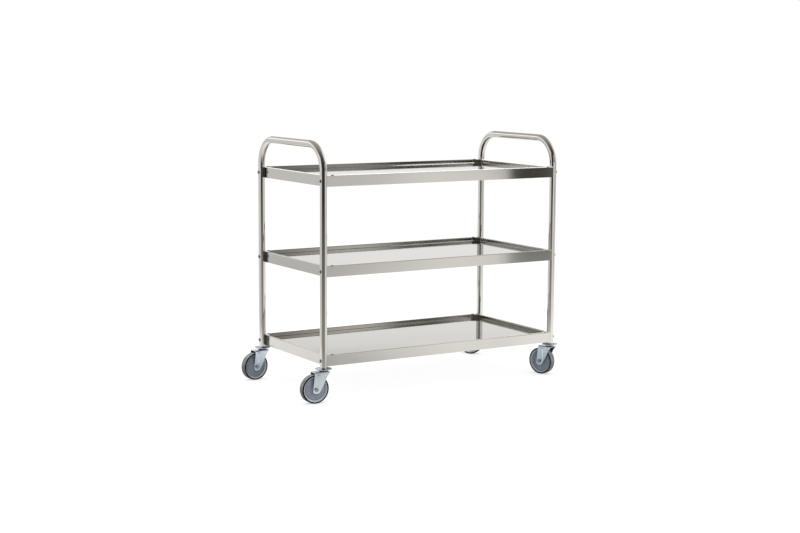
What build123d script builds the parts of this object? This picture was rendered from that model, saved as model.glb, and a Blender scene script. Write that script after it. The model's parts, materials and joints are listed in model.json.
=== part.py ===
from build123d import *
import math
import os

os.makedirs("parts", exist_ok=True)

# Three-tier service cart of stainless sheet and tube on four swivel casters.
# Millimetres. Origin on the floor under the middle of the frame, +X along the
# length to the right-hand end, +Y from the front long side to the back, +Z up.

# ---------------------------------------------------------------- dimensions

# bent tube frames
TUBE_D = 25.4
TUBE_WALL = 1.2
LEG_X = 487.5  # leg axis from the middle of the cart, along the length
LEG_Y = 237.5  # leg axis from the middle of the cart, across the width
LEG_BOTTOM = 121.6
HANDLE_TOP = 906.0
BEND_R = 95.0  # centreline radius of the handle bends
TUBE_HOLE_D = 6.6

# trays
TRAYS = {"bottom_tray": 166.0, "middle_tray": 478.0, "top_tray": 790.0}  # rim tops
SHEET = 1.0
TRAY_L = 964.4  # over the end flanges
TRAY_W = 497.4  # over the long flanges
TRAY_H = 39.0  # height of the outer flange
TRAY_DEPTH = 14.0  # rim top to floor
RIM_W = 8.0  # width of the rolled rim
RIM_R = 2.9  # rounding on both sides of the rolled rim
CORNER_R = 1.6  # vertical outer corners
CORNER_CUT = 26.0  # inner corners are folded across, which leaves room for the nuts
SEAT_GAP = 0.05  # between a tube and its hollow seat in the tray corner
SEAT_R = TUBE_D / 2 + SEAT_GAP
FOLD_R = 3.0
FLOOR_R = 1.2  # floor to wall
LIP = 8.0  # return lip along the lower edge of the flange
STOP_FROM_LEG = 30.0  # raised end of the rolled edge, from the leg axis
STOP_R = 2.8
STOP_L = 12.0
STOP_RISE = 1.5  # above the rest of the rim
BOLT_BELOW_RIM = 20.0

# tray fasteners, M6
BOLT_R = 2.95
BOLT_L = 35.0
BOLT_HEAD_R = 5.6
BOLT_HEAD_H = 2.7
SOCKET_AF = 4.0
SOCKET_DEPTH = 1.6
SADDLE_R = 6.6
SADDLE_T = 0.8  # at the middle, on the crest of the tube
CLEAR_R = 3.2
WASHER_R = 5.4
WASHER_T = 1.2
NUT_AF = 10.0
NUT_H = 5.2
NUT_BORE_R = 3.0

# casters: swivel axis on the leg axis, wheel trails behind it
TRAIL = 35.5
WHEEL_R = 50.0
TYRE_W = 26.0
TYRE_IN_R = 45.0
SHOULDER_R = 3.0
HUB_HALF_L = 15.5
BOSS_R = 11.5
WEB_HUB_HALF_T = 9.5  # the web slopes from the hub down to the dish
WEB_DISH_HALF_T = 6.0
DISH_R = 38.5
RIM_RING_HALF_W = 12.0
RIM_RING_IN_R = 43.4
BUSH_R = 6.0
BUSH_BORE_R = 4.1
HUB_BORE_R = 6.06
AXLE_R = 4.0
AXLE_AF = 13.0
AXLE_HEAD_H = 4.0
AXLE_NUT_H = 5.0
AXLE_HOLE_R = 4.1

FORK_IN = 15.8  # inner face of a fork leg from the wheel's mid plane
FORK_T = 2.4
FORK_OUT = FORK_IN + FORK_T
CROWN_TOP = 109.8
FORK_BEND_R = 5.0
FORK_SIDE = [  # outline of a fork leg, trailing side negative
    (-40.5, CROWN_TOP),
    (-49.0, 36.0),
    (-25.5, 36.0),
    (-10.2, 60.0),
    (-2.7, 75.0),
    (4.5, 92.0),
    (18.0, CROWN_TOP),
]
FORK_FOOT_R = 9.0
FORK_FRONT_R = 16.0
RIB_X = -25.0  # pressed rib down each fork leg
RIB_W = 12.5
RIB_Z = (58.0, 103.0)
RIB_H = 1.7
RIB_TAPER = 42.0
PILOT_R = 2.4  # pilot hole in the bolt head's fork leg, near the crown
PILOT = (0.3, 97.5)

KING_PIN_R = 5.5
KING_HOLE_R = 5.58
RIVET_R = 9.0
RIVET_H = 2.8
STEM_R = 4.95
STEM_TOP = 140.0
HEAD_R = 29.5
HEAD_TOP = 121.6  # the tube stands on the head
HEAD_SEAT_R = 13.5
HEAD_EDGE = 119.2  # the top slopes down to the edge
HEAD_BOTTOM = 116.4
RACE_OUT_R = 15.0  # hard races above and below the balls
HEAD_RACE_BOTTOM = 113.6
CROWN_RACE_TOP = 110.8
BALL_R = 2.4
BALL_PCR = 11.5
BALL_Z = 112.2
BALL_COUNT = 14
HEAD_GROOVE_R = 2.45
CROWN_GROOVE_R = 2.7
INSERT_R = 11.4
INSERT_TOP = 158.0
INSERT_BORE_R = 5.0

# where each caster stands, and the direction its wheel trails, in degrees from +X
CASTERS = {
    "front_left": (-LEG_X, -LEG_Y, 177.0),
    "rear_left": (-LEG_X, LEG_Y, 186.5),
    "front_right": (LEG_X, -LEG_Y, 108.5),
    "rear_right": (LEG_X, LEG_Y, 124.0),
}


def save(part, node):
    part.label = node
    export_step(part, f"parts/{node}.step")


# ---------------------------------------------------------------- tube frames

TUBE_AXIS_TOP = HANDLE_TOP - TUBE_D / 2

for node, side in (("left_frame_tube", -1), ("right_frame_tube", 1)):
    with BuildPart() as tube:
        with BuildLine(Plane.YZ.offset(side * LEG_X)) as bent:
            FilletPolyline(
                (-LEG_Y, LEG_BOTTOM),
                (-LEG_Y, TUBE_AXIS_TOP),
                (LEG_Y, TUBE_AXIS_TOP),
                (LEG_Y, LEG_BOTTOM),
                radius=BEND_R,
            )
        with BuildSketch(Plane(origin=(side * LEG_X, -LEG_Y, LEG_BOTTOM))):
            Circle(TUBE_D / 2)
            Circle(TUBE_D / 2 - TUBE_WALL, mode=Mode.SUBTRACT)
        sweep(path=bent.wires()[0])
        with Locations(
            *[
                (side * LEG_X, y, top - BOLT_BELOW_RIM)
                for y in (-LEG_Y, LEG_Y)
                for top in TRAYS.values()
            ]
        ):
            Cylinder(
                TUBE_HOLE_D / 2, TUBE_D + 4, rotation=(0, 90, 0), mode=Mode.SUBTRACT
            )
    save(tube.part, node)

# ---------------------------------------------------------------- trays

INNER_L = TRAY_L - 2 * RIM_W
INNER_W = TRAY_W - 2 * RIM_W
CUT_OUTSIDE = CORNER_CUT + (2 - math.sqrt(2)) * SHEET

# raised end of the rolled edge, lying along X
with BuildPart() as edge_end:
    Cylinder(STOP_R, STOP_L, rotation=(0, 90, 0))
    fillet(edge_end.edges().filter_by(GeomType.CIRCLE), 1.6)

for node, top in TRAYS.items():
    SEAT_PLACES = [(sx * LEG_X, sy * LEG_Y, top) for sx in (-1, 1) for sy in (-1, 1)]
    # the empty space under the sheet
    with BuildPart() as hollow:
        with BuildSketch(Plane.XY.offset(top - TRAY_H - 1)):
            RectangleRounded(TRAY_L - 2 * SHEET, TRAY_W - 2 * SHEET, CORNER_R - SHEET)
        extrude(amount=TRAY_H + 1 - SHEET)
        fillet(hollow.faces().sort_by(Axis.Z)[-1].edges(), RIM_R - SHEET)
        with BuildSketch(Plane.XY.offset(top - TRAY_DEPTH - SHEET)) as under_floor:
            Rectangle(INNER_L + 2 * SHEET, INNER_W + 2 * SHEET)
            chamfer(under_floor.vertices(), CUT_OUTSIDE)
            fillet(under_floor.vertices(), FOLD_R + SHEET)
        extrude(amount=TRAY_DEPTH + SHEET, mode=Mode.SUBTRACT)
        fillet(
            hollow.faces().sort_by(Axis.Z)[-1].inner_wires()[0].edges(), RIM_R - SHEET
        )
        fillet(
            hollow.faces()
            .filter_by(Axis.Z)
            .filter_by_position(
                Axis.Z, top - TRAY_DEPTH - SHEET - 0.01, top - TRAY_DEPTH - SHEET + 0.01
            )[0]
            .edges(),
            FLOOR_R + SHEET,
        )
        with Locations(*SEAT_PLACES):
            Cylinder(SEAT_R + SHEET, 200, mode=Mode.SUBTRACT)

    with BuildPart() as tray:
        with BuildSketch(Plane.XY.offset(top - TRAY_H)):
            RectangleRounded(TRAY_L, TRAY_W, CORNER_R)
        extrude(amount=TRAY_H)
        fillet(tray.faces().sort_by(Axis.Z)[-1].edges(), RIM_R)
        with BuildSketch(Plane.XY.offset(top - TRAY_DEPTH)) as floor:
            Rectangle(INNER_L, INNER_W)
            chamfer(floor.vertices(), CORNER_CUT)
            fillet(floor.vertices(), FOLD_R)
        extrude(amount=TRAY_DEPTH, mode=Mode.SUBTRACT)
        fillet(tray.faces().sort_by(Axis.Z)[-1].inner_wires()[0].edges(), RIM_R)
        fillet(
            tray.faces()
            .filter_by(Axis.Z)
            .filter_by_position(
                Axis.Z, top - TRAY_DEPTH - 0.01, top - TRAY_DEPTH + 0.01
            )[0]
            .edges(),
            FLOOR_R,
        )
        add(hollow.part, mode=Mode.SUBTRACT)
        # return lip along the lower edge
        with BuildSketch(Plane.XY.offset(top - TRAY_H)):
            RectangleRounded(TRAY_L - SHEET, TRAY_W - SHEET, CORNER_R - SHEET / 2)
            Rectangle(TRAY_L - 2 * LIP, TRAY_W - 2 * LIP, mode=Mode.SUBTRACT)
        extrude(amount=SHEET)
        # raised ends of the rolled edge beside each corner, on the long sides
        rim_y = TRAY_W / 2 - RIM_W / 2
        rim_z = top + STOP_RISE - STOP_R
        with Locations(
            *[
                Location((sx * (LEG_X - STOP_FROM_LEG), sy * rim_y, rim_z))
                for sx in (-1, 1)
                for sy in (-1, 1)
            ]
        ):
            add(edge_end.part)
        # hollow seats in the corners, which the tubes stand in
        with Locations(*SEAT_PLACES):
            Cylinder(SEAT_R, 200, mode=Mode.SUBTRACT)
        # bolt holes in the seats
        with Locations(
            *[
                (sx * (LEG_X - SEAT_R), sy * LEG_Y, top - BOLT_BELOW_RIM)
                for sx in (-1, 1)
                for sy in (-1, 1)
            ]
        ):
            Cylinder(CLEAR_R, 6, rotation=(0, 90, 0), mode=Mode.SUBTRACT)
    save(tray.part, node)

# ---------------------------------------------------------------- tray fasteners

# One of each, on the X axis: the crest of the tube is at x = 0, outward is +X.
with BuildPart() as bolt_one:
    with BuildSketch(Plane.XY):
        with BuildLine():
            Polyline(
                (SADDLE_T - BOLT_L, 0),
                (SADDLE_T - BOLT_L, BOLT_R - 0.5),
                (SADDLE_T - BOLT_L + 0.5, BOLT_R),
                (SADDLE_T, BOLT_R),
                (SADDLE_T, BOLT_HEAD_R),
                (SADDLE_T + 0.5, BOLT_HEAD_R),
            )
            ThreePointArc(
                (SADDLE_T + 0.5, BOLT_HEAD_R),
                (SADDLE_T + 1.8, BOLT_HEAD_R * 0.76),
                (SADDLE_T + BOLT_HEAD_H, BOLT_HEAD_R * 0.42),
            )
            Polyline(
                (SADDLE_T + BOLT_HEAD_H, BOLT_HEAD_R * 0.42),
                (SADDLE_T + BOLT_HEAD_H, 0),
                (SADDLE_T - BOLT_L, 0),
            )
        make_face()
    revolve(axis=Axis.X)
    with BuildSketch(Plane.YZ.offset(SADDLE_T + BOLT_HEAD_H)):
        RegularPolygon(SOCKET_AF / 2, 6, major_radius=False)
    extrude(amount=-SOCKET_DEPTH, mode=Mode.SUBTRACT)

with BuildPart() as saddle_one:
    with BuildSketch(Plane.YZ.offset(-5)):
        Circle(SADDLE_R)
        Circle(CLEAR_R, mode=Mode.SUBTRACT)
    extrude(amount=5 + SADDLE_T)
    with Locations((-TUBE_D / 2, 0, 0)):
        Cylinder(TUBE_D / 2, 40, mode=Mode.SUBTRACT)

with BuildPart() as washer_one:
    with BuildSketch(Plane.YZ.offset(-TUBE_D - SEAT_GAP - SHEET)):
        Circle(WASHER_R)
        Circle(CLEAR_R, mode=Mode.SUBTRACT)
    extrude(amount=-WASHER_T)

with BuildPart() as nut_one:
    with BuildSketch(Plane.YZ.offset(-TUBE_D - SEAT_GAP - SHEET - WASHER_T)):
        RegularPolygon(NUT_AF / 2, 6, major_radius=False)
        Circle(NUT_BORE_R, mode=Mode.SUBTRACT)
    extrude(amount=-NUT_H)
    chamfer(nut_one.edges().filter_by(GeomType.CIRCLE), 0.4)

FASTENER_PLACES = [
    Location(
        (sx * (LEG_X + TUBE_D / 2), sy * LEG_Y, top - BOLT_BELOW_RIM),
        (0, 0, 0 if sx > 0 else 180),
    )
    for sx in (-1, 1)
    for sy in (-1, 1)
    for top in TRAYS.values()
]

with BuildPart() as bolts:
    with Locations(*FASTENER_PLACES):
        add(bolt_one.part)
save(bolts.part, "tray_bolts")

with BuildPart() as saddles:
    with Locations(*FASTENER_PLACES):
        add(saddle_one.part)
save(saddles.part, "saddle_washers")

with BuildPart() as washers:
    with Locations(*FASTENER_PLACES):
        add(washer_one.part)
save(washers.part, "flat_washers")

with BuildPart() as nuts:
    with Locations(*FASTENER_PLACES):
        add(nut_one.part)
save(nuts.part, "tray_nuts")

# ---------------------------------------------------------------- one caster

# Swivel axis on Z, wheel trailing towards -X, axle along Y.
AXLE = Axis((-TRAIL, 0, WHEEL_R), (0, 1, 0))
WHEEL_PLANE = Plane(origin=(-TRAIL, 0, WHEEL_R), x_dir=(1, 0, 0), z_dir=(0, 0, 1))

with BuildPart() as insert_one:
    with BuildSketch(Plane.XY.offset(LEG_BOTTOM)):
        Circle(INSERT_R)
        Circle(INSERT_BORE_R, mode=Mode.SUBTRACT)
    extrude(amount=INSERT_TOP - LEG_BOTTOM)
    chamfer(insert_one.edges().group_by(Axis.Z)[-1].sort_by(SortBy.RADIUS)[-1], 1.5)
    # the lowest tray bolt passes through the insert
    with Locations((0, 0, TRAYS["bottom_tray"] - BOLT_BELOW_RIM)):
        Cylinder(CLEAR_R, 2 * INSERT_R + 2, rotation=(0, 90, 0), mode=Mode.SUBTRACT)

RIVET_TOP = CROWN_TOP - FORK_T - 0.5

with BuildPart() as stem_one:
    with BuildSketch(Plane.XZ):
        with BuildLine():
            Polyline(
                (0, RIVET_TOP - RIVET_H),
                (RIVET_R - 2, RIVET_TOP - RIVET_H),
                (RIVET_R, RIVET_TOP - RIVET_H + 1.5),
                (RIVET_R, RIVET_TOP),
                (KING_PIN_R, RIVET_TOP),
                (KING_PIN_R, HEAD_TOP),
                (STEM_R, HEAD_TOP),
                (STEM_R, STEM_TOP - 1),
                (STEM_R - 1, STEM_TOP),
                (0, STEM_TOP),
                close=True,
            )
        make_face()
    revolve(axis=Axis.Z)

with BuildPart() as head_one:
    with BuildSketch(Plane.XZ) as head_half:
        with BuildLine():
            Polyline(
                (KING_PIN_R, HEAD_RACE_BOTTOM),
                (RACE_OUT_R, HEAD_RACE_BOTTOM),
                (RACE_OUT_R + 0.8, HEAD_BOTTOM),
                (HEAD_R, HEAD_BOTTOM),
                (HEAD_R, HEAD_EDGE),
                (HEAD_SEAT_R, HEAD_TOP),
                (KING_PIN_R, HEAD_TOP),
                close=True,
            )
        make_face()
        # the rounded outer edge
        fillet(head_half.vertices().group_by(Axis.X)[-1], 1.2)
    revolve(axis=Axis.Z)
    with Locations((0, 0, BALL_Z)):
        Torus(BALL_PCR, HEAD_GROOVE_R, mode=Mode.SUBTRACT)

with BuildPart() as balls_one:
    with Locations((0, 0, BALL_Z)):
        with PolarLocations(BALL_PCR, BALL_COUNT):
            Sphere(BALL_R)

with BuildPart() as fork_one:
    with BuildSketch(Plane.XZ) as leg_outline:
        with BuildLine():
            Polyline(*FORK_SIDE, close=True)
        make_face()
        fillet(leg_outline.vertices().group_by(Axis.Y)[0], FORK_FOOT_R)
        fillet(
            leg_outline.vertices().filter_by_position(Axis.Y, 58, 99),
            FORK_FRONT_R,
        )
    extrude(amount=FORK_OUT, both=True)
    fillet(fork_one.edges().filter_by(Axis.X).group_by(Axis.Z)[-1], FORK_BEND_R)
    # the space for the wheel, with the inside of the bends
    with BuildSketch(Plane.YZ) as slot:
        with Locations((0, (CROWN_TOP - FORK_T) / 2)):
            Rectangle(2 * FORK_IN, CROWN_TOP - FORK_T)
        fillet(slot.vertices().group_by(Axis.Y)[-1], FORK_BEND_R - FORK_T)
    extrude(amount=80, both=True, mode=Mode.SUBTRACT)
    # pressed rib on the outside of each leg
    for rib_side in (-1, 1):
        with BuildSketch(
            Plane(
                origin=(RIB_X, rib_side * FORK_OUT, sum(RIB_Z) / 2),
                x_dir=(0, 0, 1),
                z_dir=(0, rib_side, 0),
            )
        ):
            SlotOverall(RIB_Z[1] - RIB_Z[0], RIB_W)
        extrude(amount=RIB_H, taper=RIB_TAPER)
    # raised race, king pin hole and ball groove in the crown
    with BuildSketch(Plane.XY.offset(CROWN_TOP - FORK_T)):
        Circle(RACE_OUT_R)
    extrude(amount=CROWN_RACE_TOP - CROWN_TOP + FORK_T)
    with BuildSketch(Plane.XY.offset(CROWN_TOP - FORK_T - 1)):
        Circle(KING_HOLE_R)
    extrude(amount=FORK_T + 4, mode=Mode.SUBTRACT)
    with Locations((0, 0, BALL_Z)):
        Torus(BALL_PCR, CROWN_GROOVE_R, mode=Mode.SUBTRACT)
    with Locations((-TRAIL, 0, WHEEL_R)):
        Cylinder(AXLE_HOLE_R, 60, rotation=(90, 0, 0), mode=Mode.SUBTRACT)
    with Locations((PILOT[0], -FORK_OUT, PILOT[1])):
        Cylinder(PILOT_R, 3 * FORK_T, rotation=(90, 0, 0), mode=Mode.SUBTRACT)

with BuildPart() as axle_one:
    with BuildSketch(Plane(origin=(-TRAIL, -FORK_OUT, WHEEL_R), x_dir=(1, 0, 0), z_dir=(0, -1, 0))):
        RegularPolygon(AXLE_AF / 2, 6, major_radius=False)
    extrude(amount=AXLE_HEAD_H)
    with BuildSketch(Plane(origin=(-TRAIL, -FORK_OUT, WHEEL_R), x_dir=(1, 0, 0), z_dir=(0, 1, 0))):
        Circle(AXLE_R)
    extrude(amount=2 * FORK_OUT + AXLE_NUT_H + 1.5)

with BuildPart() as axle_nut_one:
    with BuildSketch(Plane(origin=(-TRAIL, FORK_OUT, WHEEL_R), x_dir=(1, 0, 0), z_dir=(0, 1, 0))):
        RegularPolygon(AXLE_AF / 2, 6, major_radius=False)
        Circle(AXLE_R + 0.05, mode=Mode.SUBTRACT)
    extrude(amount=AXLE_NUT_H)

with BuildPart() as bush_one:
    with BuildSketch(Plane(origin=(-TRAIL, -FORK_IN, WHEEL_R), x_dir=(1, 0, 0), z_dir=(0, 1, 0))):
        Circle(BUSH_R)
        Circle(BUSH_BORE_R, mode=Mode.SUBTRACT)
    extrude(amount=2 * FORK_IN)

with BuildPart() as wheel_one:
    with BuildSketch(WHEEL_PLANE) as hub_half:
        with BuildLine():
            Polyline(
                (HUB_BORE_R, -HUB_HALF_L),
                (BOSS_R, -HUB_HALF_L),
                (BOSS_R + 1.5, -WEB_HUB_HALF_T),
                (DISH_R, -WEB_DISH_HALF_T),
                (RIM_RING_IN_R, -RIM_RING_HALF_W),
                (TYRE_IN_R, -RIM_RING_HALF_W),
                (TYRE_IN_R, RIM_RING_HALF_W),
                (RIM_RING_IN_R, RIM_RING_HALF_W),
                (DISH_R, WEB_DISH_HALF_T),
                (BOSS_R + 1.5, WEB_HUB_HALF_T),
                (BOSS_R, HUB_HALF_L),
                (HUB_BORE_R, HUB_HALF_L),
                close=True,
            )
        make_face()
    revolve(axis=AXLE)

with BuildPart() as tyre_one:
    with BuildSketch(WHEEL_PLANE) as tyre_half:
        with Locations(((TYRE_IN_R + WHEEL_R) / 2, 0)):
            Rectangle(WHEEL_R - TYRE_IN_R, TYRE_W)
        fillet(tyre_half.vertices().group_by(Axis.X)[-1], SHOULDER_R)
    revolve(axis=AXLE)

CASTER_PIECES = {
    "leg_insert": insert_one,
    "caster_stem": stem_one,
    "swivel_head": head_one,
    "swivel_balls": balls_one,
    "caster_fork": fork_one,
    "axle_bolt": axle_one,
    "axle_nut": axle_nut_one,
    "axle_bush": bush_one,
    "wheel_centre": wheel_one,
    "tyre": tyre_one,
}

for corner_name, (cx, cy, trail_deg) in CASTERS.items():
    for piece_name, piece in CASTER_PIECES.items():
        with BuildPart() as placed:
            turn = 0 if piece is insert_one else trail_deg - 180
            with Locations(Location((cx, cy, 0), (0, 0, turn))):
                add(piece.part)
        save(placed.part, f"{corner_name}_{piece_name}")
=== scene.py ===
import json
import math

import bpy
import numpy as np
from mathutils import Matrix, Vector

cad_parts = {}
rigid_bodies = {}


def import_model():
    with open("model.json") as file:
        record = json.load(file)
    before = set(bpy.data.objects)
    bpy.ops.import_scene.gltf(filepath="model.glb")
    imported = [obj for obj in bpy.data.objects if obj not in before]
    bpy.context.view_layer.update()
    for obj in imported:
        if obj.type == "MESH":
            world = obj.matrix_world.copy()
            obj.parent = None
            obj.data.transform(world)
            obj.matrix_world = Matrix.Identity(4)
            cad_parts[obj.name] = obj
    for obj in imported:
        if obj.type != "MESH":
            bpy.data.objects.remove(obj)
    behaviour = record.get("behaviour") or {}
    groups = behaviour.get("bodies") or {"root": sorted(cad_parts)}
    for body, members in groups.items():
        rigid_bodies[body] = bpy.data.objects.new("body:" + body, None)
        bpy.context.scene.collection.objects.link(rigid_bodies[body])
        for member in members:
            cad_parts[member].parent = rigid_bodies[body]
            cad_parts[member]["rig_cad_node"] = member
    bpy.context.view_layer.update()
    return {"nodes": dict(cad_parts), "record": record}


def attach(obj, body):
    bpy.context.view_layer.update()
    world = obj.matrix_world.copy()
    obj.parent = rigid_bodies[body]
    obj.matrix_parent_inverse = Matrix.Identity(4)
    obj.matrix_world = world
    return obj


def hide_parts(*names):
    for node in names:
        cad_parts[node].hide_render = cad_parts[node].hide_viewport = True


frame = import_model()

NODES = frame["nodes"]
SLOT_OF = {s["node"]: s["material_slot"] for s in frame["record"]["subparts"]}

for left in ("Cube", "Light", "Camera"):
    o = bpy.data.objects.get(left)
    if o is not None and "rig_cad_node" not in o:
        bpy.data.objects.remove(o)

scene = bpy.context.scene
scene.view_settings.view_transform = "Standard"
scene.view_settings.look = "None"
scene.cycles.use_denoising = True

# ------------------------------------------------------------------ dimensions
# metres, the same frame as the CAD
LEG_X, LEG_Y = 0.4875, 0.2375
LEG_BOTTOM = 0.1216
TUBE_R, TUBE_IN = 0.0127, 0.0115
AXIS_TOP = 0.906 - TUBE_R
BEND_R = 0.095
TRAIL, WHEEL_R = 0.0355, 0.050
CASTERS = {
    "front_left": (-LEG_X, -LEG_Y, 177.0),
    "rear_left": (-LEG_X, LEG_Y, 186.5),
    "front_right": (LEG_X, -LEG_Y, 108.5),
    "rear_right": (LEG_X, LEG_Y, 124.0),
}

# ------------------------------------------------------------------ node helpers


class Nodes:
    """A material's node tree, with short calls for the nodes used here."""

    def __init__(self, name):
        self.mat = bpy.data.materials.new(name)
        self.mat.use_nodes = True
        self.tree = self.mat.node_tree
        self.bsdf = self.tree.nodes["Principled BSDF"]
        self.coord = self.tree.nodes.new("ShaderNodeTexCoord")

    def link(self, a, b):
        self.tree.links.new(a, b)

    def put(self, socket, value):
        if isinstance(value, bpy.types.NodeSocket):
            self.link(value, socket)
        else:
            socket.default_value = value

    def mapped(self, scale, source="Object", place=(0, 0, 0), turn=(0, 0, 0)):
        n = self.tree.nodes.new("ShaderNodeMapping")
        n.inputs["Scale"].default_value = scale
        n.inputs["Location"].default_value = place
        n.inputs["Rotation"].default_value = turn
        self.link(self.coord.outputs[source], n.inputs["Vector"])
        return n.outputs["Vector"]

    def noise(self, vector, scale=1.0, detail=2.0, rough=0.5, distortion=0.0):
        n = self.tree.nodes.new("ShaderNodeTexNoise")
        self.link(vector, n.inputs["Vector"])
        n.inputs["Scale"].default_value = scale
        n.inputs["Detail"].default_value = detail
        n.inputs["Roughness"].default_value = rough
        n.inputs["Distortion"].default_value = distortion
        return n.outputs["Fac"]

    def cells(self, vector, scale):
        n = self.tree.nodes.new("ShaderNodeTexVoronoi")
        self.link(vector, n.inputs["Vector"])
        n.inputs["Scale"].default_value = scale
        return n.outputs["Color"]

    def range(self, value, a, b, c, d):
        n = self.tree.nodes.new("ShaderNodeMapRange")
        self.link(value, n.inputs["Value"])
        for k, v in (("From Min", a), ("From Max", b), ("To Min", c), ("To Max", d)):
            n.inputs[k].default_value = v
        return n.outputs["Result"]

    def math(self, op, a, b=0.0):
        n = self.tree.nodes.new("ShaderNodeMath")
        n.operation = op
        self.put(n.inputs[0], a)
        self.put(n.inputs[1], b)
        return n.outputs["Value"]

    def vec(self, op, a, b=(0, 0, 0)):
        n = self.tree.nodes.new("ShaderNodeVectorMath")
        n.operation = op
        self.put(n.inputs[0], a)
        self.put(n.inputs[1], b)
        return n.outputs["Value"] if op in ("DOT_PRODUCT", "LENGTH", "DISTANCE") else n.outputs["Vector"]

    def mix(self, fac, a, b):
        n = self.tree.nodes.new("ShaderNodeMix")
        n.data_type = "RGBA"
        self.put(n.inputs[0], fac)
        self.put(n.inputs[6], (*a, 1.0) if isinstance(a, tuple) else a)
        self.put(n.inputs[7], (*b, 1.0) if isinstance(b, tuple) else b)
        return n.outputs[2]

    def bump(self, height, distance, strength=1.0, normal=None):
        n = self.tree.nodes.new("ShaderNodeBump")
        n.inputs["Distance"].default_value = distance
        n.inputs["Strength"].default_value = strength
        self.link(height, n.inputs["Height"])
        if normal is not None:
            self.link(normal, n.inputs["Normal"])
        return n.outputs["Normal"]

    def set(self, **values):
        for k, v in values.items():
            self.put(self.bsdf.inputs[k.replace("_", " ")], v)

    def at(self):
        """The place of the point and its normal, as their three parts."""
        geo = self.tree.nodes.new("ShaderNodeNewGeometry")
        parts = []
        for k in ("Position", "Normal"):
            sep = self.tree.nodes.new("ShaderNodeSeparateXYZ")
            self.link(geo.outputs[k], sep.inputs[0])
            parts.append([sep.outputs[c] for c in "XYZ"])
        return parts

    def times(self, *factors):
        out = factors[0]
        for f in factors[1:]:
            out = self.math("MULTIPLY", out, f)
        return out


# ------------------------------------------------------------------ materials


WALL_DULL = 0.10
RIM_PAINTED_HIGHLIGHT = 0.7


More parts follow.
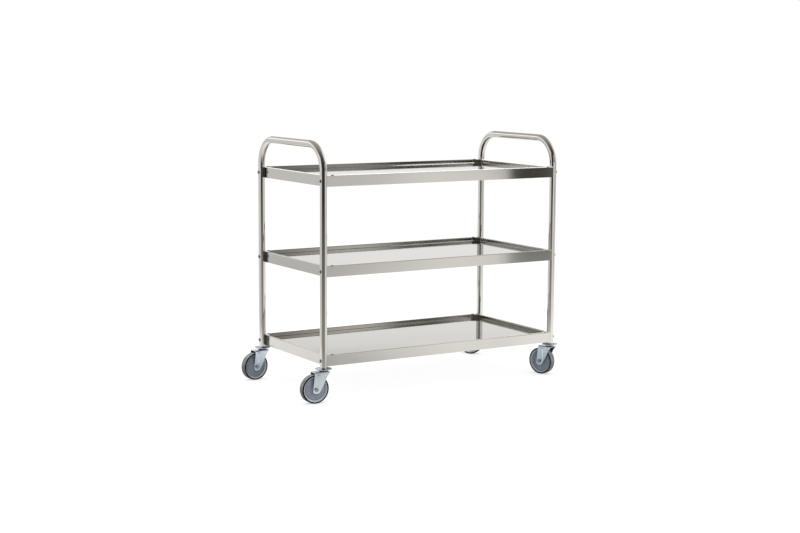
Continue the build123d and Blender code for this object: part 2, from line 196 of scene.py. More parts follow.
def stainless_sheet():
    m = Nodes("stainless_sheet")
    grain = m.noise(m.mapped((3.0, 420.0, 420.0)), detail=3.0, rough=0.6)
    fine = m.noise(m.mapped((9.0, 1500.0, 1500.0)), detail=2.0)
    smear = m.noise(m.mapped((5.0, 7.0, 7.0)), detail=4.0, rough=0.55)
    sway = m.noise(m.mapped((2.2, 3.4, 9.0)), detail=1.0)
    tone = m.math("ADD", m.math("MULTIPLY", grain, 0.5), m.math("MULTIPLY", smear, 0.5))
    # the folded walls inside the trays are duller than the flanges and floors; their colour is also darkened, a painted
    # shade
    (px, py, pz), (nx, ny, nz) = m.at()
    inside = m.times(
        m.range(m.math("ABSOLUTE", px), 0.4772, 0.4782, 1.0, 0.0),
        m.range(m.math("ABSOLUTE", py), 0.2440, 0.2450, 1.0, 0.0),
        m.range(m.math("ABSOLUTE", nz), 0.55, 0.85, 1.0, 0.0),
    )
    dull = m.times(inside, m.range(grain, 0.3, 0.7, WALL_DULL - 0.03, WALL_DULL + 0.03))
    sheet = m.mix(m.range(tone, 0.3, 0.7, 0.0, 1.0), (0.560, 0.540, 0.503), (0.588, 0.568, 0.531))
    # painted shade: the left part of the far inner walls is darkened
    far_wall_left_painted_shade = m.times(inside, m.range(py, 0.20, 0.21, 0.0, 1.0), m.range(px, -0.42, -0.12, 1.0, 0.0))
    sheet = m.mix(m.math("MULTIPLY", inside, 0.55), sheet, (0.40, 0.385, 0.355))
    shade = m.times(
        inside,
        m.range(py, 0.20, 0.21, 0.0, 1.0),
        m.math("ADD", m.range(pz, 0.780, 0.784, 0.0, 0.75), m.times(m.range(pz, 0.156, 0.159, 0.0, 0.55), m.range(pz, 0.2, 0.3, 1.0, 0.0), m.range(px, 0.0, 0.12, 0.0, 1.0))),
        m.range(px, -0.12, 0.10, 0.0, 1.0),
        m.range(px, 0.22, 0.42, 1.0, 0.0),
    )
    sheet = m.mix(shade, sheet, (0.065, 0.062, 0.056))
    sheet = m.mix(m.math("MULTIPLY", far_wall_left_painted_shade, 0.75), sheet, (0.20, 0.188, 0.168))
    # painted highlights: the crown of the rolled rims, the fold along the far walls and the upper part of the right end
    # wall are made lighter and less metallic
    wide, deep = m.math("ABSOLUTE", px), m.math("ABSOLUTE", py)
    under = m.math("MODULO", m.math("ADD", pz, 0.312 - 0.166 + 0.006), 0.312)
    rim = m.math(
        "MAXIMUM",
        m.times(m.range(wide, 0.4738, 0.4742, 0.0, 1.0), m.math("MAXIMUM", m.range(pz, 0.5, 0.7, 0.30, 1.0), m.range(px, -0.1, 0.1, 0.0, 1.0))),
        m.times(
            m.range(py, -0.2407, -0.2403, 1.0, 0.0),
            m.math("MAXIMUM", m.range(pz, 0.5, 0.7, 0.40, 1.0), m.times(m.range(pz, 0.2, 0.3, 1.0, 0.0), m.range(px, -0.2, 0.3, 0.40, 0.90))),
        ),
    )
    painted_highlight = m.times(
        rim,
        m.range(under, 0.001, 0.003, 0.0, 1.0),
        m.range(under, 0.0062, 0.0066, 1.0, 0.0),
        m.range(m.math("ABSOLUTE", m.math("SUBTRACT", wide, 0.4575)), 0.0060, 0.0066, 0.0, 1.0),
        m.range(nz, 0.30, 0.60, 0.0, RIM_PAINTED_HIGHLIGHT),
    )
    over = m.math("MODULO", m.math("ADD", pz, 0.312 - 0.152 + 0.002), 0.312)
    fold = m.times(
        m.range(py, 0.2350, 0.2380, 0.0, 1.0),
        m.range(px, 0.05, 0.14, 0.0, 0.75),
        m.range(pz, 0.3, 0.4, 0.0, 1.0),
        m.range(over, 0.0020, 0.0022, 0.0, 1.0),
        m.range(over, 0.0036, 0.0042, 1.0, 0.0),
    )
    end = m.times(inside, m.range(px, 0.468, 0.470, 0.0, 1.0))
    # painted highlight: parts of the right end walls are made lighter
    end_wall_painted_light = m.times(end, m.range(pz, 0.5, 0.7, 0.0, 0.17), m.range(py, 0.0, 0.12, 1.0, 0.0))
    bottom_end_wall_painted_light = m.times(end, m.range(pz, 0.1585, 0.1610, 0.0, 0.42), m.range(pz, 0.2, 0.3, 1.0, 0.0), m.range(py, 0.06, 0.14, 1.0, 0.0))
    # painted highlight: the right end of the far walls is made lighter
    far = m.times(inside, m.range(py, 0.236, 0.238, 0.0, 1.0), m.range(px, 0.33, 0.42, 0.0, 0.16), m.range(pz, 0.2, 0.3, 1.0, 0.0))
    painted_highlight = m.math("MAXIMUM", m.math("MAXIMUM", painted_highlight, bottom_end_wall_painted_light), m.math("MAXIMUM", m.math("MAXIMUM", fold, end_wall_painted_light), far))
    # painted shade: the right end wall of the bottom tray is darkened
    end_wall_painted_shade = m.times(end, m.range(pz, 0.2, 0.3, 0.55, 0.0))
    sheet = m.mix(end_wall_painted_shade, sheet, (0.130, 0.120, 0.092))
    # painted shade: a dark patch on the end flanges beside the rear tubes
    tube_corner_painted_shade = m.times(
        m.range(wide, 0.4775, 0.4785, 0.0, 1.0),
        m.range(m.math("ABSOLUTE", nz), 0.55, 0.85, 1.0, 0.0),
        m.range(m.math("SUBTRACT", py, m.range(pz, 0.2, 0.7, 0.186, 0.198)), 0.0, 0.009, 0.0, 1.0),
        m.range(pz, 0.2, 0.7, 0.88, 0.72),
    )
    sheet = m.mix(tube_corner_painted_shade, sheet, (0.034, 0.028, 0.024))
    m.set(
        Base_Color=m.mix(painted_highlight, sheet, (0.80, 0.785, 0.75)),
        Metallic=m.range(painted_highlight, 0.0, 1.0, 1.0, 0.0),
        Roughness=m.math(
            "ADD",
            dull,
            m.math("ADD", m.range(smear, 0.3, 0.72, 0.045, 0.075), m.range(grain, 0.3, 0.7, -0.008, 0.014)),
        ),
    )
    waves = m.bump(sway, 0.0007)
    m.set(Normal=m.bump(m.math("ADD", grain, m.math("MULTIPLY", fine, 0.5)), 0.0000015, normal=waves))
    return m.mat


def stainless_tube():
    m = Nodes("stainless_tube")
    lines = m.noise(m.mapped((260.0, 2.0, 1.0), "UV"), detail=3.0, rough=0.6)
    smear = m.noise(m.mapped((14.0, 14.0, 9.0)), detail=4.0)
    m.set(
        Base_Color=m.mix(m.range(smear, 0.3, 0.7, 0.0, 1.0), (0.640, 0.620, 0.580), (0.680, 0.660, 0.620)),
        Metallic=1.0,
        Roughness=m.math("ADD", m.range(smear, 0.3, 0.72, 0.030, 0.055), m.range(lines, 0.3, 0.7, -0.006, 0.012)),
    )
    m.set(Normal=m.bump(lines, 0.000002))
    return m.mat


def tray_fastener():
    m = Nodes("stainless_fastener")
    spots = m.noise(m.mapped((160.0, 160.0, 160.0)), detail=4.0)
    turned = m.noise(m.mapped((900.0, 900.0, 900.0)), detail=2.0)
    (px, py, pz), _ = m.at()
    # painted shade: the front edge of each bolt head, where it meets the tube, is darkened
    front = m.math("SUBTRACT", py, m.math("MULTIPLY", m.math("SIGN", py), LEG_Y))
    low = m.range(m.math("ABSOLUTE", px), LEG_X + 0.0142, LEG_X + 0.0156, 1.0, 0.0)
    head_edge_painted_shade = m.times(m.range(front, -0.0030, -0.0010, 1.0, 0.0), m.math("MAXIMUM", low, m.range(px, -0.1, 0.1, 0.0, 1.0)))
    tone = m.mix(m.range(spots, 0.3, 0.7, 0.0, 1.0), (0.46, 0.45, 0.43), (0.56, 0.55, 0.52))
    m.set(
        Base_Color=m.mix(m.math("MULTIPLY", head_edge_painted_shade, 0.9), tone, (0.040, 0.037, 0.032)),
        Metallic=1.0,
        Roughness=m.math("ADD", m.range(spots, 0.3, 0.7, 0.10, 0.24), m.math("MULTIPLY", head_edge_painted_shade, 0.25)),
        Normal=m.bump(turned, 0.00001),
    )
    return m.mat


def fastener(name, low, high, rough):
    m = Nodes(name)
    spots = m.noise(m.mapped((160.0, 160.0, 160.0)), detail=4.0)
    turned = m.noise(m.mapped((900.0, 900.0, 900.0)), detail=2.0)
    m.set(
        Base_Color=m.mix(m.range(spots, 0.3, 0.7, 0.0, 1.0), low, high),
        Metallic=1.0,
        Roughness=m.range(spots, 0.3, 0.7, rough, rough + 0.14),
        Normal=m.bump(turned, 0.00001),
    )
    return m.mat


def zinc_steel(corner, place, axle):
    m = Nodes("zinc_steel_" + corner)
    cloud = m.noise(m.mapped((32.0, 32.0, 32.0)), detail=4.0, rough=0.6)
    drawn = m.noise(m.mapped((240.0, 240.0, 14.0)), detail=3.0)
    grit = m.noise(m.mapped((1400.0, 1400.0, 1400.0)), detail=2.0)
    tint = m.mix(m.range(cloud, 0.3, 0.7, 0.0, 1.0), (0.590, 0.665, 0.705), (0.725, 0.780, 0.805))
    tint = m.mix(m.range(drawn, 0.35, 0.75, 0.0, 0.35), tint, (0.50, 0.57, 0.615))
    # painted shade: darker, less metallic and rougher inside the fork, in the ball race, and on the head under the tray
    rel = m.vec("SUBTRACT", m.coord.outputs["Object"], place)
    aside = m.math("ABSOLUTE", m.vec("DOT_PRODUCT", rel, axle))
    part = m.tree.nodes.new("ShaderNodeSeparateXYZ")
    m.link(rel, part.inputs[0])
    up = part.outputs["Z"]
    out = m.vec("LENGTH", m.vec("MULTIPLY", rel, (1.0, 1.0, 0.0)))
    within = m.times(m.range(aside, 0.0160, 0.0168, 1.0, 0.0), m.range(up, 0.1070, 0.1080, 1.0, 0.0))
    race = m.times(m.range(out, 0.0160, 0.0172, 1.0, 0.0), m.range(up, 0.1163, 0.1168, 1.0, 0.0), m.range(up, 0.1080, 0.1090, 0.0, 1.0))
    covered = m.times(
        m.range(m.math("MULTIPLY", part.outputs["X"], 1.0 if place[0] < 0 else -1.0), 0.001, 0.006, 0.0, 1.0),
        m.range(up, 0.1176, 0.1186, 0.0, 1.0),
        m.range(out, 0.0262, 0.0282, 1.0, 0.0),
    )
    fork_painted_shade = m.math("MAXIMUM", m.math("MAXIMUM", within, race), m.math("MULTIPLY", covered, 0.8))
    fork_painted_shade = m.times(fork_painted_shade, m.range(cloud, 0.3, 0.7, 0.82, 1.0))
    m.set(
        Base_Color=m.mix(fork_painted_shade, tint, (0.020, 0.022, 0.022)),
        Metallic=m.range(fork_painted_shade, 0.0, 1.0, 1.0, 0.35),
        Roughness=m.times(
            m.math("ADD", m.range(cloud, 0.3, 0.7, 0.13, 0.22), m.range(drawn, 0.3, 0.7, -0.02, 0.03)),
            m.range(fork_painted_shade, 0.0, 1.0, 1.0, 2.2),
        ),
    )
    m.set(Normal=m.bump(grit, 0.000012, normal=m.bump(drawn, 0.00003)))
    return m.mat


def bearing_steel():
    m = Nodes("bearing_steel")
    film = m.noise(m.mapped((300.0, 300.0, 300.0)), detail=3.0)
    m.set(
        Base_Color=m.mix(film, (0.52, 0.51, 0.50), (0.62, 0.61, 0.60)),
        Metallic=1.0,
        Roughness=m.range(film, 0.3, 0.7, 0.08, 0.2),
    )
    return m.mat


def from_axle(m, centre, axle):
    """Distance from the axle, and along it, of a point on a wheel."""
    rel = m.vec("SUBTRACT", m.coord.outputs["Object"], centre)
    along = m.vec("DOT_PRODUCT", rel, axle)
    cross = m.vec("CROSS_PRODUCT", rel, axle)
    return m.vec("LENGTH", cross), along, rel


def wheel_plastic(corner, centre, axle):
    m = Nodes("wheel_plastic_" + corner)
    radius, along, rel = from_axle(m, centre, axle)
    cloud = m.noise(rel, 45.0, detail=3.0)
    skin = m.noise(rel, 1600.0, detail=2.0)
    flow = m.math("SINE", m.math("MULTIPLY", radius, 5200.0))
    # lighter towards the rim: dust, and painted highlight
    dust_and_painted_highlight = m.math("MULTIPLY", m.range(radius, 0.030, 0.043, 0.0, 1.0), m.range(cloud, 0.35, 0.65, 0.0, 1.0))
    base = m.mix(m.range(cloud, 0.3, 0.7, 0.0, 1.0), (0.176, 0.208, 0.256), (0.250, 0.286, 0.340))
    base = m.mix(m.math("MULTIPLY", dust_and_painted_highlight, 0.35), base, (0.32, 0.355, 0.40))
    # painted shade: a darker ring in the groove of the dish
    groove = m.math("MULTIPLY", m.range(radius, 0.0362, 0.0376, 0.0, 1.0), m.range(radius, 0.0386, 0.0394, 1.0, 0.0))
    base = m.mix(m.math("MULTIPLY", groove, 0.75), base, (0.075, 0.086, 0.105))
    # painted highlight: the outer ring of the wheel centre is lighter
    m.set(
        Base_Color=m.mix(m.range(radius, 0.0388, 0.0398, 0.0, 1.0), base, (0.45, 0.485, 0.52)),
        Roughness=m.range(cloud, 0.3, 0.7, 0.26, 0.36),
    )
    m.set(Normal=m.bump(skin, 0.00002, normal=m.bump(flow, 0.00001)))
    return m.mat


def tyre_rubber(corner, centre, axle):
    m = Nodes("tyre_rubber_" + corner)
    radius, along, rel = from_axle(m, centre, axle)
    cloud = m.noise(rel, 60.0, detail=4.0)
    grit = m.noise(rel, 1100.0, detail=3.0)
    # the tread is lighter grey than the black sides: partly wear, partly painted sheen
    across = m.range(m.math("ABSOLUTE", along), 0.0098, 0.0118, 1.0, 0.0)
    tread_wear_and_sheen = m.math("MULTIPLY", m.range(radius, 0.0488, 0.0498, 0.0, 1.0), across)
    tread_scuff_and_painted_sheen = m.math("MULTIPLY", tread_wear_and_sheen, m.range(cloud, 0.3, 0.7, 0.45, 0.95))
    m.set(
        Base_Color=m.mix(tread_scuff_and_painted_sheen, (0.0050, 0.0056, 0.0066), (0.245, 0.252, 0.258)),
        Specular_IOR_Level=0.07,
        Roughness=m.math("ADD", m.range(cloud, 0.3, 0.7, 0.46, 0.56), m.math("MULTIPLY", tread_scuff_and_painted_sheen, 0.15)),
    )
    m.set(Normal=m.bump(grit, 0.00004))
    return m.mat


MATS = {
    "stainless_sheet": stainless_sheet(),
    "stainless_tube": stainless_tube(),
    "stainless_fastener": tray_fastener(),
    # the zinc fasteners' colour is darkened, a painted shade round the axle heads
    "zinc_fastener": fastener("zinc_fastener", (0.24, 0.27, 0.285), (0.36, 0.39, 0.405), 0.24),
    "bearing_steel": bearing_steel(),
}

# ------------------------------------------------------------------ CAD nodes


def smooth_normals(o, limit=38.0):
    """Shades rounded CAD faces smoothly and keeps flat faces flat."""
    me = o.data
    nv, nl, nf = len(me.vertices), len(me.loops), len(me.polygons)
    co = np.empty(nv * 3); me.vertices.foreach_get("co", co); co = co.reshape(-1, 3)
    lv = np.empty(nl, int); me.loops.foreach_get("vertex_index", lv)
    fn = np.empty(nf * 3); me.polygons.foreach_get("normal", fn); fn = fn.reshape(-1, 3)
    fa = np.empty(nf); me.polygons.foreach_get("area", fa)
    start = np.empty(nf, int); me.polygons.foreach_get("loop_start", start)
    total = np.empty(nf, int); me.polygons.foreach_get("loop_total", total)
    face = np.repeat(np.arange(nf), total)
    # all facets of one plane count with the whole plane's area
    off = (fn * co[lv[start]]).sum(1)
    plane = np.round(np.c_[fn * 500, off * 20000]).astype(int)
    _, which = np.unique(plane, axis=0, return_inverse=True)
    which = which.ravel()
    whole = np.bincount(which, weights=fa)[which]
    _, spot = np.unique(np.round(co * 1e6).astype(int), axis=0, return_inverse=True)
    spot = spot.ravel()[lv]
    order = np.argsort(spot, kind="stable")
    edges = np.r_[0, np.nonzero(np.diff(spot[order]))[0] + 1, nl]
    out = np.empty((nl, 3))
    lim = math.cos(math.radians(limit))
    for a, b in zip(edges[:-1], edges[1:]):
        loops = order[a:b]
        f = face[loops]
        n = fn[f]
        near = (n @ n.T > lim) * whole[f][None, :]
        s = near @ n
        out[loops] = s / np.linalg.norm(s, axis=1)[:, None]
    me.polygons.foreach_set("use_smooth", np.ones(nf, bool))
    me.normals_split_custom_set(out)
    me.update()


ZINC = {}
for corner, (cx, cy, deg) in CASTERS.items():
    th = math.radians(deg)
    ZINC[corner] = zinc_steel(corner, (cx, cy, 0.0), (math.sin(th), -math.cos(th), 0.0))

for name, o in NODES.items():
    slot = SLOT_OF[name]
    if slot in MATS or slot == "zinc_steel":
        o.data.materials.clear()
        o.data.materials.append(ZINC["_".join(name.split("_")[:2])] if slot == "zinc_steel" else MATS[slot])
    smooth_normals(o)

# ------------------------------------------------------------------ finer round pieces


def new_object(name, verts, faces, uv=None):
    me = bpy.data.meshes.new(name)
    me.from_pydata([tuple(v) for v in verts], [], faces)
    me.update()
    if uv is not None:
        layer = me.uv_layers.new(name="UVMap")
        layer.data.foreach_set("uv", np.asarray(uv, float).ravel())
    me.polygons.foreach_set("use_smooth", np.ones(len(me.polygons), bool))
    o = bpy.data.objects.new(name, me)
    scene.collection.objects.link(o)
    return o


def tube_frame(name, x, round_segments=56, bend_segments=28):
    """A round tube with a wall, bent to an inverted U in the plane x = const."""
    path = [(-LEG_Y, LEG_BOTTOM, 0.0, 1.0), (-LEG_Y, AXIS_TOP - BEND_R, 0.0, 1.0)]
    c = LEG_Y - BEND_R
    for i in range(1, bend_segments):
        a = math.pi - (math.pi / 2) * i / bend_segments
        path.append((-c + BEND_R * math.cos(a), AXIS_TOP - BEND_R + BEND_R * math.sin(a), math.sin(a), -math.cos(a)))
    path.append((-c, AXIS_TOP, 1.0, 0.0))
    path.append((c, AXIS_TOP, 1.0, 0.0))
    for i in range(1, bend_segments):
        a = math.pi / 2 - (math.pi / 2) * i / bend_segments
        path.append((c + BEND_R * math.cos(a), AXIS_TOP - BEND_R + BEND_R * math.sin(a), math.sin(a), -math.cos(a)))
    path += [(LEG_Y, AXIS_TOP - BEND_R, 0.0, -1.0), (LEG_Y, LEG_BOTTOM, 0.0, -1.0)]
    n, k = round_segments, len(path)
    verts, run = [], [0.0]
    for i in range(1, k):
        run.append(run[-1] + math.dist(path[i][:2], path[i - 1][:2]))
    for r in (TUBE_R, TUBE_IN):
        for y, z, ty, tz in path:
            for j in range(n):
                a = 2 * math.pi * j / n
                ca, sa = math.cos(a), math.sin(a)
                verts.append((x + r * ca, y - tz * r * sa, z + ty * r * sa))
    faces, uv = [], []

    def quad(a, b, c_, d, st):
        faces.append((a, b, c_, d))
        uv.extend(st)

    for side in (0, 1):
        base = side * k * n
        for i in range(k - 1):
            for j in range(n):
                j2 = (j + 1) % n
                q = [base + i * n + j, base + i * n + j2, base + (i + 1) * n + j2, base + (i + 1) * n + j]
                st = [(j / n, run[i]), ((j + 1) / n, run[i]), ((j + 1) / n, run[i + 1]), (j / n, run[i + 1])]
                if side:
                    q, st = q[::-1], st[::-1]
                quad(*q, st)
    for i, flip in ((0, True), (k - 1, False)):
        for j in range(n):
            j2 = (j + 1) % n
            q = [i * n + j, i * n + j2, k * n + i * n + j2, k * n + i * n + j]
            quad(*(q[::-1] if flip else q), [(0, 0)] * 4)
    o = new_object(name, verts, faces, uv)
    return o


def turned(name, profile, centre, axis, segments=112):
    """A closed profile of (radius, along) points turned about an axis."""
    axis = Vector(axis).normalized()
    u = Vector((0, 0, 1)) if abs(axis.z) < 0.9 else Vector((1, 0, 0))
    u = (u - axis * u.dot(axis)).normalized()
    w = axis.cross(u)
    verts, faces = [], []
    k = len(profile)
    for i in range(segments):
        a = 2 * math.pi * i / segments
        d = u * math.cos(a) + w * math.sin(a)
        for r, t in profile:
            verts.append(Vector(centre) + d * r + axis * t)
    for i in range(segments):
        i2 = (i + 1) % segments
        for j in range(k):
            j2 = (j + 1) % k
            faces.append((i * k + j, i2 * k + j, i2 * k + j2, i * k + j2))
    o = new_object(name, verts, faces)
    return o


def outward(o):
    """Face normals out, judged by the signed volume."""
    me = o.data
    vol = 0.0
    for p in me.polygons:
        v = [me.vertices[i].co for i in p.vertices]
        for i in range(1, len(v) - 1):
            vol += v[0].dot(v[i].cross(v[i + 1]))
    if vol < 0:
        me.flip_normals()
    me.update()


def rounded(points, radii, steps=6):
    """The closed outline through points, each corner rounded by its own radius."""
    out, n = [], len(points)
    for i in range(n):
        p, a, b = Vector(points[i]), Vector(points[i - 1]), Vector(points[(i + 1) % n])
        r = radii[i]
        if r <= 0:
            out.append(tuple(p))
            continue
        da, db = (a - p).normalized(), (b - p).normalized()
        half = da.angle(db) / 2
        cut = min(r / math.tan(half), 0.49 * min((a - p).length, (b - p).length))
        r = cut * math.tan(half)
        mid = p + (da + db).normalized() * (r / math.sin(half))
        s, e = p + da * cut, p + db * cut
        a0 = math.atan2(s.y - mid.y, s.x - mid.x)
        a1 = math.atan2(e.y - mid.y, e.x - mid.x)
        turn = (a1 - a0 + math.pi) % (2 * math.pi) - math.pi
        for q in range(steps + 1):
            t = a0 + turn * q / steps
            out.append((mid.x + r * math.cos(t), mid.y + r * math.sin(t)))
    return out


def place(o, body, node, slot, material):
    o.data.materials.append(material)
    outward(o)
    smooth_normals(o, 32.0)
    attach(o, body)
    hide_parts(node)


for side, x in (("left", -LEG_X), ("right", LEG_X)):
    o = tube_frame(side + "_push_frame", x)
    place(o, "frame", side + "_frame_tube", "stainless_tube", MATS["stainless_tube"])

MM = 0.001
for corner, (cx, cy, deg) in CASTERS.items():
    th = math.radians(deg)
    trail = Vector((math.cos(th), math.sin(th), 0.0))
    axle = Vector((math.sin(th), -math.cos(th), 0.0))
    hub = Vector((cx, cy, WHEEL_R)) + trail * TRAIL

    tyre = rounded(
        [(45.0, -13.0), (47.4, -13.0), (47.8, -12.55), (50.0, -12.55), (50.0, 12.55), (47.8, 12.55), (47.4, 13.0), (45.0, 13.0)],
        [0.4, 0.35, 0.35, 2.6, 2.6, 0.35, 0.35, 0.4],
    )
    o = turned(corner + "_tyre_ring", [(r * MM, t * MM) for r, t in tyre], hub, axle)
    place(o, corner + "_wheel", corner + "_tyre", "tyre_rubber", tyre_rubber(corner, tuple(hub), tuple(axle)))

    half = [(6.06, 15.5), (11.5, 15.5), (13.0, 9.5), (38.5, 6.0), (43.4, 12.0), (45.0, 12.0)]
    centre = rounded(
        half + [(r, -t) for r, t in half[::-1]],
        [0.4, 1.2, 2.5, 2.2, 0.8, 0.3] + [0.3, 0.8, 2.2, 2.5, 1.2, 0.4],
    )
    o = turned(corner + "_wheel_disc", [(r * MM, t * MM) for r, t in centre], hub, axle)
    place(o, corner + "_wheel", corner + "_wheel_centre", "wheel_plastic", wheel_plastic(corner, tuple(hub), tuple(axle)))

    head = rounded(
        [(5.5, 113.6), (15.0, 113.6), (15.8, 116.4), (29.5, 116.4), (29.5, 119.2), (13.5, 121.6), (5.5, 121.6)],
        [0.0, 0.4, 0.4, 1.1, 1.3, 2.0, 0.0],
    )
    o = turned(corner + "_head_cup", [(r * MM, t * MM) for r, t in head], (cx, cy, 0.0), (0, 0, 1), 96)
    place(o, "frame", corner + "_swivel_head", "zinc_steel", ZINC[corner])

# ------------------------------------------------------------------ camera

YAW, PITCH, ROLL = math.radians(31.312), math.radians(7.604), math.radians(-0.331)
fwd = Vector((math.sin(YAW) * math.cos(PITCH), math.cos(YAW) * math.cos(PITCH), -math.sin(PITCH)))
right = Vector((math.cos(YAW), -math.sin(YAW), 0.0))
down = fwd.cross(right)
r2 = right * math.cos(ROLL) + down * math.sin(ROLL)
d2 = down * math.cos(ROLL) - right * math.sin(ROLL)
cam_data = bpy.data.cameras.new("camera")
cam_data.sensor_fit = "HORIZONTAL"
cam_data.sensor_width = 36.0
cam_data.lens = 1577.991 / 800 * 36.0
cam_data.shift_x = 0.0005
cam_data.clip_end = 100.0
cam = bpy.data.objects.new("camera", cam_data)
scene.collection.objects.link(cam)
m = Matrix.Identity(4)
for i in range(3):
    m[i][0], m[i][1], m[i][2] = r2[i], -d2[i], -fwd[i]
    m[i][3] = (-3.061236, -4.972770, 1.196197)[i]
cam.matrix_world = m
scene.camera = cam

# ------------------------------------------------------------------ studio


class Glow:
    """An emission material whose colour is built from the position of the point."""

    def __init__(self, name):
        self.mat = bpy.data.materials.new(name)
        self.mat.use_nodes = True
        self.mat.cycles.emission_sampling = "NONE"
        self.tree = self.mat.node_tree
        self.tree.nodes.clear()
        self.out = self.tree.nodes.new("ShaderNodeOutputMaterial")
        self.em = self.tree.nodes.new("ShaderNodeEmission")
        self.tree.links.new(self.em.outputs["Emission"], self.out.inputs["Surface"])
        geo = self.tree.nodes.new("ShaderNodeNewGeometry")
        sep = self.tree.nodes.new("ShaderNodeSeparateXYZ")
        self.tree.links.new(geo.outputs["Position"], sep.inputs[0])
        self.x, self.y, self.z = (sep.outputs[k] for k in "XYZ")

    def math(self, op, a, b=0.0):
        n = self.tree.nodes.new("ShaderNodeMath")
        n.operation = op
        for socket, value in zip(n.inputs, (a, b)):
            if isinstance(value, bpy.types.NodeSocket):
                self.tree.links.new(value, socket)
            else:
                socket.default_value = value
        return n.outputs["Value"]

    def part(self, value, a, b):
        """0 below a, 1 above b, smooth between."""
        n = self.tree.nodes.new("ShaderNodeMapRange")
        n.interpolation_type = "SMOOTHSTEP"
        n.inputs["From Min"].default_value = a
        n.inputs["From Max"].default_value = b
        self.tree.links.new(value, n.inputs["Value"])
        return n.outputs["Result"]

    def turn(self):
        """Direction about the cart in degrees, 0 to the front, positive to the right."""
        a = self.math("ARCTAN2", self.x, self.math("MULTIPLY", self.y, -1.0))
        return self.math("MULTIPLY", a, 180.0 / math.pi)

    def ramp(self, value, stops):
        lo, hi = stops[0][0], stops[-1][0]
        n = self.tree.nodes.new("ShaderNodeMapRange")
        n.inputs["From Min"].default_value = lo
        n.inputs["From Max"].default_value = hi
        self.tree.links.new(value, n.inputs["Value"])
        r = self.tree.nodes.new("ShaderNodeValToRGB")
        els = r.color_ramp.elements
        while len(els) < len(stops):
            els.new(0.5)
        for e, (at, c) in zip(els, stops):
            e.position = (at - lo) / (hi - lo)
            e.color = (*c, 1.0) if isinstance(c, tuple) else (c, c, c, 1.0)
        self.tree.links.new(n.outputs["Result"], r.inputs["Fac"])
        return r.outputs["Color"]

    def mix(self, fac, a, b):
        n = self.tree.nodes.new("ShaderNodeMix")
        n.data_type = "RGBA"
        self.tree.links.new(fac, n.inputs[0])
        self.tree.links.new(a, n.inputs[6])
        self.tree.links.new(b, n.inputs[7])
        return n.outputs[2]

    def shine(self, colour):
        self.tree.links.new(colour, self.em.inputs["Color"])


def stage_mesh(name, verts, faces, mat, seen=False):
    me = bpy.data.meshes.new(name)
    me.from_pydata(verts, [], faces)
    o = bpy.data.objects.new(name, me)
    scene.collection.objects.link(o)
    o.data.materials.append(mat)
    o.visible_camera = seen
    o.visible_shadow = False
    return o


# a ring of soft panels round the front, with an opening towards the camera
WALL_R, WALL_H = 1.5, 1.5
DIM = (0.046, 0.040, 0.033)
LOW = (0.350, 0.330, 0.300)
g = Glow("studio_panels")
turn = g.turn()
HALF = tuple((u + v) / 2 for u, v in zip(DIM, LOW))
DUSK = (0.10, 0.094, 0.083)
LEVELS = [  # height of the level, and the light round it by direction
    (0.0, [
        (-180, 0.9), (-112, 0.74), (-100, 0.66), (-88, 0.70), (-77, 0.88), (-69, LOW), (-8, LOW), (-2, 0.74), (4, 0.82), (9, 0.91), (13, 1.00), (18, 1.05),
        (22, 1.11), (26, 1.16), (30, 1.20), (38, 1.17), (45, 1.30), (64, 1.2), (112, 0.95), (180, 0.9),
    ]),
    (0.31, [
        (-180, 0.9), (-112, 0.76), (-100, 0.68), (-88, 0.72), (-77, 0.88), (-69, HALF), (-8, HALF), (-2, 0.62), (9, 0.70), (13, 0.77), (18, 0.88), (22, 0.97),
        (26, 1.04), (30, 1.09), (34, 1.08), (36.5, 1.02), (37.5, 0.98), (38.2, 0.78), (38.8, 0.60), (39.4, 0.49), (40.4, 0.41), (41.5, 0.36), (44, 0.34), (48, 0.42), (53, 0.80), (64, 0.95), (112, 0.9), (180, 0.9),
    ]),
    (0.62, [
        (-180, 0.9), (-112, 0.82), (-100, 0.72), (-88, 0.74), (-77, 0.90), (-69, DIM), (-8, DIM), (-2, 0.72), (8, 0.83), (14, 0.86), (18, 0.92), (22, 1.04),
        (26, 1.10), (30, 1.10), (34, 1.07), (36.85, 0.98), (38.25, 0.86), (39.45, (0.088, 0.083, 0.074)), (44, (0.082, 0.078, 0.070)), (47.5, 0.18), (51, 0.48), (58, 0.70), (70, 0.85), (112, 0.9), (180, 0.9),
    ]),
    (0.82, [
        (-180, 0.95), (-112, 0.95), (-77, 0.95), (-69, DIM), (-8, DIM), (-2, 0.66), (8, 0.76), (14, 0.80), (18, 0.84), (22, 0.92),
        (26, 0.95), (30, 0.92), (34, 0.86), (36.85, 0.72), (38.25, 0.55), (39.45, (0.10, 0.095, 0.085)), (44, DUSK), (47.5, 0.22), (51, 0.60), (58, 0.80), (70, 0.9), (112, 0.95), (180, 0.95),
    ]),
    (0.98, [
        (-180, 1.0), (-112, 1.0), (-77, 0.95), (-69, DIM), (-8, DIM), (0, 0.36), (12, 0.46), (20, 0.38), (28.7, 0.36), (35, 0.25), (41, 0.13), (47, 0.26), (51, 0.75), (62, 0.95), (112, 1.0), (180, 1.0),
    ]),
    (1.16, [
        (-180, 1.1), (-112, 1.05), (-77, 0.95), (-69, DIM), (-6, DIM), (2, 0.32), (12, 0.5), (40, 0.5), (56, 0.6), (68, 1.1), (112, 1.1), (180, 1.1),
    ]),
]
light = g.ramp(turn, LEVELS[0][1])
for (below, _), (at, stops) in zip(LEVELS, LEVELS[1:]):
    light = g.mix(g.ramp(g.z, [(below, 0.0), (at, 1.0)]), light, g.ramp(turn, stops))
g.shine(light)
n = 120
verts, faces = [], []
for i in range(n + 1):
    a = math.radians(-112 + 224 * i / n)
    for z in (0.0, WALL_H):
        verts.append((WALL_R * math.sin(a), -WALL_R * math.cos(a), z))
for i in range(n):
    faces.append((2 * i, 2 * i + 2, 2 * i + 3, 2 * i + 1))
panels = stage_mesh("studio_panels", verts, faces, g.mat)
panels.visible_diffuse = False

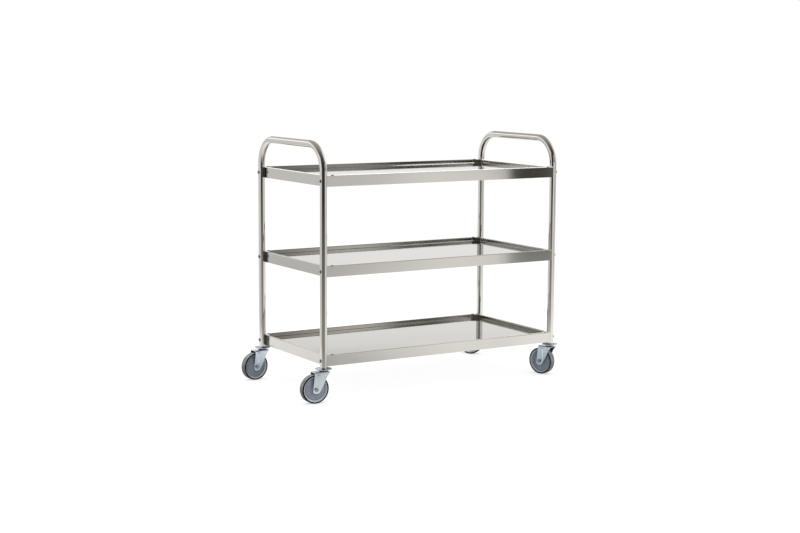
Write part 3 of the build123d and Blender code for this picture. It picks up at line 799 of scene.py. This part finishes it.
# the room far behind and above, as a dome
DOME_R = 30.0
g = Glow("studio_room")
turn = g.turn()
height = g.math("DIVIDE", g.z, DOME_R)
near_horizon = g.ramp(turn, [
    (-180, 0.50), (-165, 0.42), (-150, 0.38), (-112, 0.45), (-70, 0.10), (50, 0.10), (66, 1.1), (112, 1.0), (150, 0.96), (180, 0.8),
])
above = g.ramp(turn, [
    (-180, 0.8), (-166, 1.3), (-150, 1.45), (-112, 1.2), (-80, 0.95), (-66, 0.08), (50, 0.08), (66, 1.2), (112, 1.2), (128, 0.55), (150, 0.5), (180, 0.6),
])
toward = g.math("DIVIDE", g.math("ADD", g.math("MULTIPLY", g.x, -0.515), g.math("MULTIPLY", g.y, -0.857)), DOME_R)
ceiling = g.ramp(toward, [
    (-1.0, (0.56, 0.545, 0.52)), (-0.4, (0.47, 0.455, 0.43)), (0.0, (0.37, 0.355, 0.33)), (0.3, (0.24, 0.23, 0.21)),
    (0.45, (0.16, 0.15, 0.135)), (0.62, (0.085, 0.078, 0.068)), (1.0, DIM),
])
side = g.math("MULTIPLY", g.part(turn, 52.0, 68.0), g.math("SUBTRACT", 1.0, g.part(turn, 108.0, 128.0)))
ceiling = g.mix(
    g.math("MULTIPLY", side, g.math("SUBTRACT", 1.0, g.part(height, math.sin(math.radians(42)), math.sin(math.radians(54))))),
    ceiling,
    above,
)
low_band = g.math("SUBTRACT", 1.0, g.part(height, math.sin(math.radians(6.0)), math.sin(math.radians(7.0))))
low_band = g.math("MULTIPLY", low_band, g.math("MULTIPLY", g.part(turn, -172.0, -158.0), g.math("SUBTRACT", 1.0, g.part(turn, -140.0, -128.0))))
near_horizon = g.mix(low_band, near_horizon, g.ramp(turn, [(-180, 0.7), (-149, 0.95), (-110, 0.8), (180, 0.8)]))
lower = g.mix(g.part(height, math.sin(math.radians(10.0)), math.sin(math.radians(13.6))), near_horizon, above)
g.shine(g.mix(g.part(height, math.sin(math.radians(24)), math.sin(math.radians(33))), lower, ceiling))
verts, faces = [], []
rows, cols = 24, 72
for j in range(rows + 1):
    e = math.radians(-20 + 110 * j / rows)
    for i in range(cols):
        a = 2 * math.pi * i / cols
        verts.append((DOME_R * math.cos(e) * math.sin(a), -DOME_R * math.cos(e) * math.cos(a), DOME_R * math.sin(e)))
for j in range(rows):
    for i in range(cols):
        i2 = (i + 1) % cols
        faces.append((j * cols + i, j * cols + i2, (j + 1) * cols + i2, (j + 1) * cols + i))
room = stage_mesh("studio_room", verts, faces, g.mat)
room.visible_diffuse = False

# what the polished metal sees of the floor: pale round the cart, darker towards the camera
g = Glow("studio_ground")
turn = g.turn()
toward = g.math("ADD", g.math("MULTIPLY", g.x, -0.515), g.math("MULTIPLY", g.y, -0.857))
dark = g.ramp(toward, [
    (0.0, 0.9), (0.62, 0.9), (1.0, (0.50, 0.48, 0.45)), (1.35, LOW), (2.1, (0.27, 0.255, 0.235)), (3.3, (0.18, 0.17, 0.155)), (5.7, (0.11, 0.10, 0.09)), (9.0, DIM),
])
r2 = g.math("ADD", g.math("MULTIPLY", g.x, g.x), g.math("MULTIPLY", g.y, g.y))
away = g.math("SQRT", r2)
around = g.ramp(turn, [
    (-180, 1.1), (-149, 1.25), (-112, 1.1), (-77, 0.95), (-1, 0.76), (4, 0.84), (9, 0.93), (13, 1.01), (18, 1.06),
    (22, 1.12), (26, 1.17), (30, 1.20), (38, 1.17), (45, 1.30), (64, 1.2), (112, 1.0), (150, 1.0), (180, 1.1),
])
beyond = g.mix(
    g.part(turn, -145.0, -133.0),
    g.ramp(away, [(1.3, 1.0), (2.2, 0.76), (3.6, 0.74), (6.0, 0.85), (18.0, 0.85)]),
    g.ramp(away, [(1.3, 1.0), (2.2, 0.95), (6.0, 1.0), (18.0, 0.9)]),
)
pale = g.mix(g.part(away, 1.3, 2.0), around, beyond)
under_cart = g.ramp(away, [(0.0, (0.50, 0.56, 0.60)), (0.45, (0.52, 0.58, 0.62)), (0.8, 1.0), (1.0, 1.0)])
pale = g.mix(g.part(away, 0.45, 0.8), under_cart, pale)
sector = g.math("MULTIPLY", g.part(turn, -75.0, -65.0), g.math("SUBTRACT", 1.0, g.part(turn, -9.0, -1.0)))
g.shine(g.mix(sector, pale, dark))
s = 24.0
ground = stage_mesh("studio_ground", [(-s, -s, -0.0005), (s, -s, -0.0005), (s, s, -0.0005), (-s, s, -0.0005)], [(0, 1, 2, 3)], g.mat)
ground.visible_diffuse = False

# pale floor; its glow is darkened near the wheels by ambient occlusion, a painted contact shadow
g = Glow("floor_paper")
g.em.inputs["Color"].default_value = (1, 1, 1, 1)
g.em.inputs["Strength"].default_value = 0.94
near = g.tree.nodes.new("ShaderNodeAmbientOcclusion")
near.samples = 8
near.inputs["Distance"].default_value = 0.10
g.shine(g.ramp(near.outputs["AO"], [(0.0, 0.50), (0.75, 0.96), (1.0, 1.0)]))
dif = g.tree.nodes.new("ShaderNodeBsdfDiffuse")
dif.inputs["Color"].default_value = (0.095, 0.095, 0.095, 1)
add = g.tree.nodes.new("ShaderNodeAddShader")
g.tree.links.new(g.em.outputs[0], add.inputs[0])
g.tree.links.new(dif.outputs[0], add.inputs[1])
g.tree.links.new(add.outputs[0], g.out.inputs["Surface"])
s = 9.0
floor = stage_mesh("floor", [(-s, -s, 0), (s, -s, 0), (s, s, 0), (-s, s, 0)], [(0, 1, 2, 3)], g.mat, seen=True)
floor.visible_glossy = False
floor.visible_diffuse = False

# the floor as matt pieces are lit by it
g = Glow("floor_bounce")
g.em.inputs["Color"].default_value = (0.50, 0.49, 0.48, 1)
s = 24.0
under = stage_mesh("floor_bounce", [(-s, -s, -0.001), (s, -s, -0.001), (s, s, -0.001), (-s, s, -0.001)], [(0, 1, 2, 3)], g.mat)
under.visible_glossy = False

world = bpy.data.worlds.new("studio")
scene.world = world
world.use_nodes = True
t = world.node_tree
t.nodes.clear()
out = t.nodes.new("ShaderNodeOutputWorld")
bg = t.nodes.new("ShaderNodeBackground")
bg.inputs["Color"].default_value = (1, 1, 1, 1)
bg.inputs["Strength"].default_value = 1.0
t.links.new(bg.outputs[0], out.inputs["Surface"])

lamp = bpy.data.lights.new("overhead", "AREA")
lamp.shape = "RECTANGLE"
lamp.size, lamp.size_y = 2.2, 1.6
lamp.energy = 110.0
o = bpy.data.objects.new("overhead", lamp)
o.location = (-0.3, 0.2, 2.6)
o.visible_camera = False
o.visible_glossy = False
scene.collection.objects.link(o)

lamp = bpy.data.lights.new("front_right", "AREA")
lamp.shape = "RECTANGLE"
lamp.size, lamp.size_y = 0.9, 0.9
lamp.energy = 26.0
o = bpy.data.objects.new("front_right", lamp)
o.location = (1.3, -2.6, 1.1)
o.rotation_euler = (Vector((-0.2, -0.2, 0.05)) - Vector(o.location)).to_track_quat("-Z", "Y").to_euler()
o.visible_camera = False
o.visible_glossy = False
scene.collection.objects.link(o)
